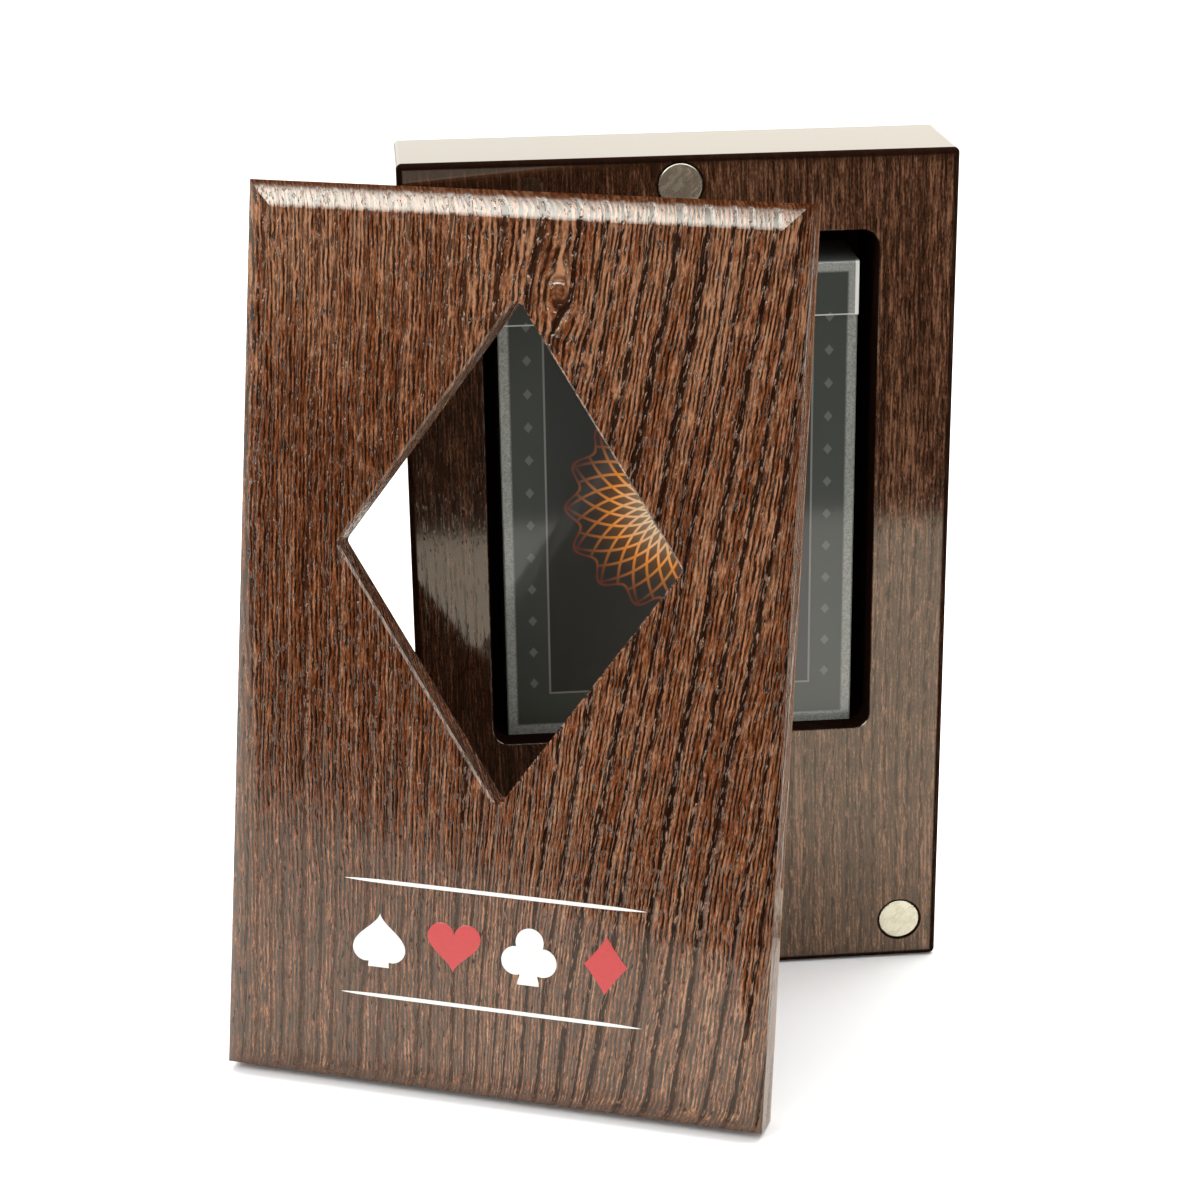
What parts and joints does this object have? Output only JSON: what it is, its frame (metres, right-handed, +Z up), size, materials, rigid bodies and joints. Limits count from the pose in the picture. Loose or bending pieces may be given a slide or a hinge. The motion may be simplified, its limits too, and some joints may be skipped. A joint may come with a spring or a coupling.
{
  "type": "playing card case",
  "caption": "Wooden case for a boxed pack of playing cards: an upright tray with a milled recess, and a lift-off lid with a diamond window that seats on disc magnets.",
  "frame": {"origin": "middle of the lower end face that the tray stands on", "axes": "+X across the tray to the right, +Y from its open face to its back, +Z up"},
  "size_m": [0.1373, 0.0889, 0.16],
  "materials": {
    "tray_wood": "dark stain, satin lacquer",
    "lid_wood": "dark stain, gloss lacquer",
    "magnet_nickel": "nickel plate",
    "card_board": "printed and varnished",
    "card_paper": "coated card"
  },
  "bodies": {
    "tray": {"tray": "tray_wood", "tray_magnet_top": "magnet_nickel", "tray_magnet_left": "magnet_nickel", "tray_magnet_right": "magnet_nickel"},
    "lid": {"lid": "lid_wood", "lid_magnet_top": "magnet_nickel", "lid_magnet_left": "magnet_nickel", "lid_magnet_right": "magnet_nickel"},
    "card_box": {"card_box": "card_board", "cards": "card_paper"},
    "card_box_flap": {"card_box_flap": "card_board"}
  },
  "joints": [
    {"name": "lid_lift", "type": "slide", "parent": "tray", "child": "lid", "axis": [-0.3505, -0.9132, 0.2079], "range_m": [0, 0.08]},
    {"name": "card_box_slide", "type": "slide", "parent": "tray", "child": "card_box", "axis": [0, -1, 0], "range_m": [0, 0.01]},
    {"name": "card_box_flap_hinge", "type": "hinge", "parent": "card_box", "child": "card_box_flap", "pos_m": [0, 0.00847, 0.13917], "axis": [-1, 0, 0], "range_deg": [0, 18]}
  ]
}
